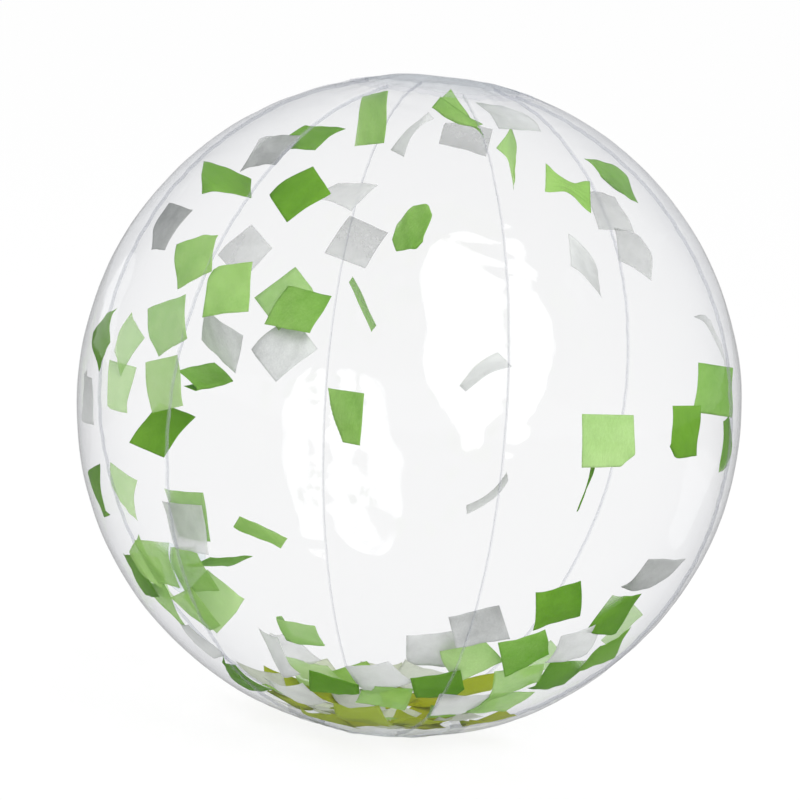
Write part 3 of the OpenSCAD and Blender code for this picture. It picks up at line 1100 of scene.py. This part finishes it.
def strap_fold():
    """The strap's fold, a band that goes round from the stem's half to the stopper's."""
    axis_z = MOUTH_Z + STRAP_GAP / 2
    middle = (STRAP_T + STRAP_GAP) / 2
    back = FOLD_Y - STRAP_T - STRAP_GAP - 0.4
    route = [(back, axis_z - middle), (FOLD_Y - 0.5, axis_z - middle)]
    turn = np.linspace(-math.pi / 2, math.pi / 2, 17)
    route += [(FOLD_Y + middle * math.cos(a), axis_z + middle * math.sin(a)) for a in turn]
    route += [(FOLD_Y - 0.5, axis_z + middle), (back, axis_z + middle)]
    route = np.array(route)
    along = np.gradient(route, axis=0)
    along /= np.linalg.norm(along, axis=1)[:, None]
    side = np.stack([along[:, 1], -along[:, 0]], axis=1)
    half_w, half_t = STRAP_W / 2 - 0.02, STRAP_T / 2 - 0.02
    section = rounded([(a * half_w, b * half_t) for a, b in CORNERS], 0.14, 3)
    points = [(x, *(place + t * out)) for place, out in zip(route, side) for x, t in section]
    count = len(section)
    faces = grid_faces(len(route), count, wrap=True)
    faces.append(tuple(reversed(range(count))))
    faces.append(tuple(range((len(route) - 1) * count, len(route) * count)))
    piece = valve_piece("strap_fold", (np.array(points), faces))
    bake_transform(piece)


# ---- Stage, lights and camera -----------------------------------------------------------


def camera():
    """The camera, with the axes of its picture worked out from its place and roll."""
    back = towards(VIEW_LON, VIEW_LAT)
    lon, roll = math.radians(VIEW_LON), math.radians(VIEW_ROLL)
    level = np.array([math.cos(lon), math.sin(lon), 0.0])
    above = np.cross(back, level)
    right = math.cos(roll) * level + math.sin(roll) * above
    up = -math.sin(roll) * level + math.cos(roll) * above
    place = VIEW_DISTANCE * back - CENTRE_RIGHT * right + CENTRE_BELOW * up
    data = bpy.data.cameras.new("camera")
    data.lens = LENS
    data.sensor_width = 36
    data.clip_start = 0.05
    data.clip_end = 60
    cam = bpy.data.objects.new("camera", data)
    bpy.context.scene.collection.objects.link(cam)
    axes = np.stack([right, up, back], axis=1)
    cam.matrix_world = Matrix([[*axes[r], place[r] * MM] for r in range(3)] + [[0, 0, 0, 1]])
    bpy.context.scene.camera = cam
    return back, right, up


FLOOR_HALF = 12000
# How far the floor lies under the ball's flat.
FLOOR_GAP = 0.2


def floor():
    """A plain pale floor that glows, as a lit white table does, and mirrors dimly in film."""
    tree = Tree("floor")
    paint = tree.add("BsdfDiffuse", Color=(0.12, 0.12, 0.12, 1))
    glow = tree.add("Emission", Color=(1, 1, 1, 1))
    mirrored = tree.add("LightPath").outputs["Is Glossy Ray"]
    tree.link(tree.maths("MULTIPLY_ADD", mirrored, -0.68, 0.87), glow.inputs["Strength"])
    both = tree.add("AddShader")
    tree.link(paint.outputs[0], both.inputs[0])
    tree.link(glow.outputs[0], both.inputs[1])
    material = tree.finish(both.outputs[0])
    material.cycles.emission_sampling = "NONE"
    half, z = FLOOR_HALF, -FLAT_Z - FLOOR_GAP
    square = [(-half, -half, z), (half, -half, z), (half, half, z), (-half, half, z)]
    mesh_object("floor", square, [(0, 1, 2, 3)], materials=[material])


def world():
    """A white backdrop, with a dimmer, cooler room for the film to mirror."""
    made = bpy.data.worlds.new("world")
    bpy.context.scene.world = made
    made.use_nodes = True
    nodes, links = made.node_tree.nodes, made.node_tree.links
    nodes.clear()
    place = nodes.new("ShaderNodeTexCoord")
    split = nodes.new("ShaderNodeSeparateXYZ")
    links.new(place.outputs["Generated"], split.inputs[0])
    ramp = nodes.new("ShaderNodeValToRGB")
    stops = (
        (0.0, (0.66, 0.67, 0.69)),
        (0.15, (0.58, 0.60, 0.64)),
        (0.45, (0.42, 0.45, 0.50)),
        (1.0, (0.34, 0.37, 0.42)),
    )
    elements = ramp.color_ramp.elements
    while len(elements) < len(stops):
        elements.new(0.5)
    for element, (at, colour) in zip(elements, stops):
        element.position = at
        element.color = (*colour, 1)
    links.new(split.outputs["Z"], ramp.inputs[0])
    ray = nodes.new("ShaderNodeLightPath")
    backdrop = nodes.new("ShaderNodeBackground")
    room = nodes.new("ShaderNodeBackground")
    links.new(ramp.outputs[0], room.inputs[0])
    pick = nodes.new("ShaderNodeMixShader")
    backdrop.inputs["Color"].default_value = (1, 1, 1, 1)
    links.new(ray.outputs["Is Glossy Ray"], pick.inputs[0])
    links.new(backdrop.outputs[0], pick.inputs[1])
    links.new(room.outputs[0], pick.inputs[2])
    out = nodes.new("ShaderNodeOutputWorld")
    links.new(pick.outputs[0], out.inputs[0])


# How far the lights stand from the ball, in metres.
SOFTBOX_DISTANCE = 2.4


def softbox(name, way, width, height, radiance):
    """An oval light in a direction from the ball, aimed at it, with its size in metres."""
    light = bpy.data.lights.new(name, "AREA")
    light.shape = "ELLIPSE"
    light.size = width
    light.size_y = height
    light.energy = radiance * math.pi * (math.pi / 4 * width * height)
    lamp = bpy.data.objects.new(name, light)
    bpy.context.scene.collection.objects.link(lamp)
    lamp.location = way * SOFTBOX_DISTANCE
    lamp.rotation_mode = "QUATERNION"
    lamp.rotation_quaternion = Vector(-way).to_track_quat("-Z", "Y")
    lamp.visible_camera = False


def studio(back, right, up):
    """One large softbox beside the camera, and a dim one behind that catches the film's edge."""
    softbox("key_softbox", 0.41 * right + 0.36 * up + 0.83 * back, 1.6, 3.3, 3.4)
    softbox("side_softbox", -0.70 * right + 0.10 * up - 0.70 * back, 1.0, 1.3, 0.9)
    scene = bpy.context.scene
    scene.view_settings.view_transform = "Standard"
    scene.cycles.transparent_max_bounces = 48
    scene.cycles.max_bounces = 12


# ---- Build ------------------------------------------------------------------------------

studio(*camera())
world()
floor()
for number in range(1, len(PANELS) + 1):
    panel(number)
pole_disc("top_film", "top_disc", 1)
pole_disc("bottom_film", "bottom_disc", -1)
for node in sorted(NODES):
    if "confetti" in node:
        tissue_piece(node)
for make in (valve_ring, valve_cone, valve_tube, valve_flap, stopper_cap, strap_fold):
    make()
